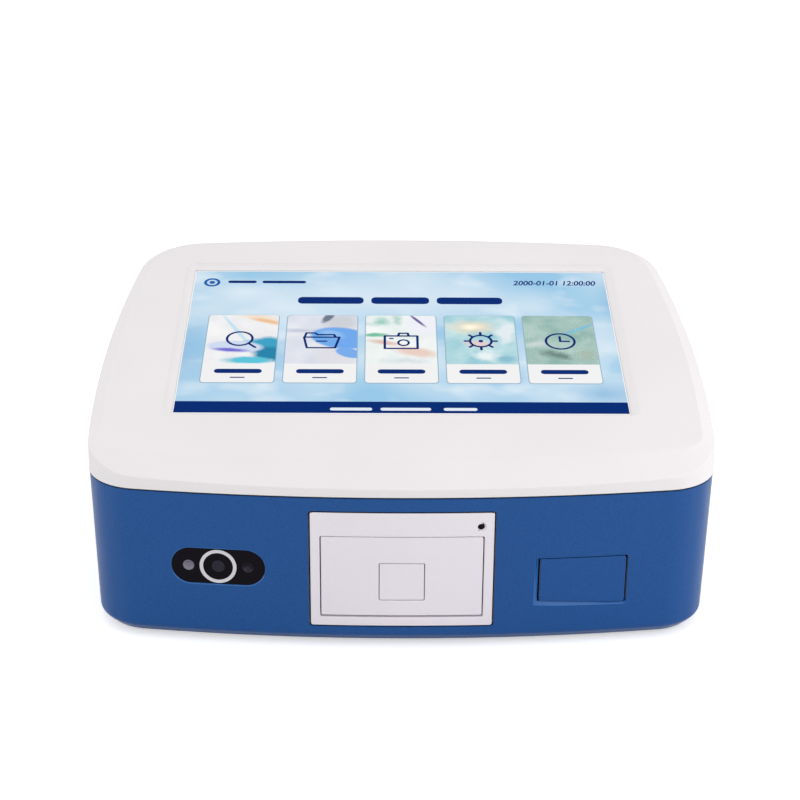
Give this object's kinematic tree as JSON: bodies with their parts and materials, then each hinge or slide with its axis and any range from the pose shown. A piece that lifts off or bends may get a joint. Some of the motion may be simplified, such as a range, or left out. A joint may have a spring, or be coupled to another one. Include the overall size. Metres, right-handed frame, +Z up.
{
  "type": "mycotoxin analyzer",
  "caption": "Bench analyzer with a tilted touchscreen in a white wedge cover over a blue base, a card drawer, a code scanner window and a hinged port flap.",
  "frame": {"origin": "on the bench under the middle of the unit's bounding box", "axes": "+Z up, -Y towards the user, +X to the user's right"},
  "size_m": [0.2946, 0.221, 0.13],
  "materials": {
    "blue_shell": "fine spark texture",
    "white_shell": "fine spark texture",
    "white_front": "smooth satin",
    "white_gloss": "gloss",
    "black_gloss": "gloss",
    "black_plastic": "satin",
    "grey_plastic": "satin",
    "nylon": "satin",
    "dark_rubber": "matte",
    "lens_glass": "clear",
    "lamp_milky": "milky",
    "screen_glass": "clear",
    "display": "lit colour display",
    "steel_sheet": "zinc plated",
    "steel": "bright",
    "brass": "turned",
    "aluminium": "satin",
    "black_metal": "black anodised",
    "motor_black": "satin",
    "circuit_board": "solder mask"
  },
  "bodies": {
    "housing": {"bay_frame": "white_front", "board_standoffs": "brass", "chassis_plate": "steel_sheet", "chassis_screws": "steel", "detector": "steel", "flap_hinge_pin": "steel", "foot_back_left": "dark_rubber", "foot_back_right": "dark_rubber", "foot_front_left": "dark_rubber", "foot_front_right": "dark_rubber", "guide_screws": "steel", "housing_gasket": "dark_rubber", "housing_screws": "steel", "lan_socket": "steel", "lcd_panel": "display", "lower_housing": "blue_shell", "main_board": "circuit_board", "motor_bracket": "steel_sheet", "optic_bridge": "aluminium", "optic_head": "black_metal", "optic_lens": "lens_glass", "port_bay": "black_plastic", "port_board": "circuit_board", "power_inlet": "black_plastic", "power_switch": "black_plastic", "rail_left": "nylon", "rail_right": "nylon", "rear_panel": "steel_sheet", "scanner_lamp_left": "lamp_milky", "scanner_lamp_right": "lens_glass", "scanner_lens": "lens_glass", "scanner_module": "black_plastic", "scanner_ring": "white_gloss", "scanner_window": "black_gloss", "screen_bracket": "steel_sheet", "screen_screws": "steel", "screw_bearing": "brass", "speaker": "black_plastic", "status_lamp": "black_gloss", "top_cover": "white_shell", "touch_glass": "screen_glass", "tray_guide": "grey_plastic", "tray_motor": "motor_black", "usb_socket_left": "steel", "usb_socket_right": "steel", "uv_lamp": "steel"},
    "drawer": {"card_tray": "grey_plastic", "drawer_front": "white_front", "drawer_screws": "steel", "pad_switch": "black_plastic", "screw_nut": "brass"},
    "pad": {"open_pad": "white_front"},
    "screw": {"lead_screw": "steel"},
    "flap": {"port_flap": "blue_shell"},
    "rocker": {"power_rocker": "black_gloss"}
  },
  "joints": [
    {"name": "drawer_slide", "type": "slide", "parent": "housing", "child": "drawer", "axis": [0, -1, 0], "range_m": [0, 0.085]},
    {"name": "pad_press", "type": "slide", "parent": "drawer", "child": "pad", "axis": [0, 1, 0], "range_m": [0, 0.0008], "stiffness_N_per_m": 500, "springref_m": -0.0005},
    {"name": "screw_spin", "type": "hinge", "parent": "housing", "child": "screw", "pos_m": [0, -0.034, 0.0249], "axis": [0, 1, 0], "range_deg": [-5, 3065]},
    {"name": "flap_hinge", "type": "hinge", "parent": "housing", "child": "flap", "pos_m": [0.10047, -0.10114, 0.03385], "axis": [0.0021, -0.0208, 0.9998], "range_deg": [0, 105]},
    {"name": "power_rock", "type": "hinge", "parent": "housing", "child": "rocker", "pos_m": [-0.044, 0.1019, 0.038], "axis": [1, 0, 0], "range_deg": [0, 16]}
  ],
  "couplings": [
    {"joint": "screw_spin", "follows": "drawer_slide", "rad_per_m": 628.32}
  ]
}
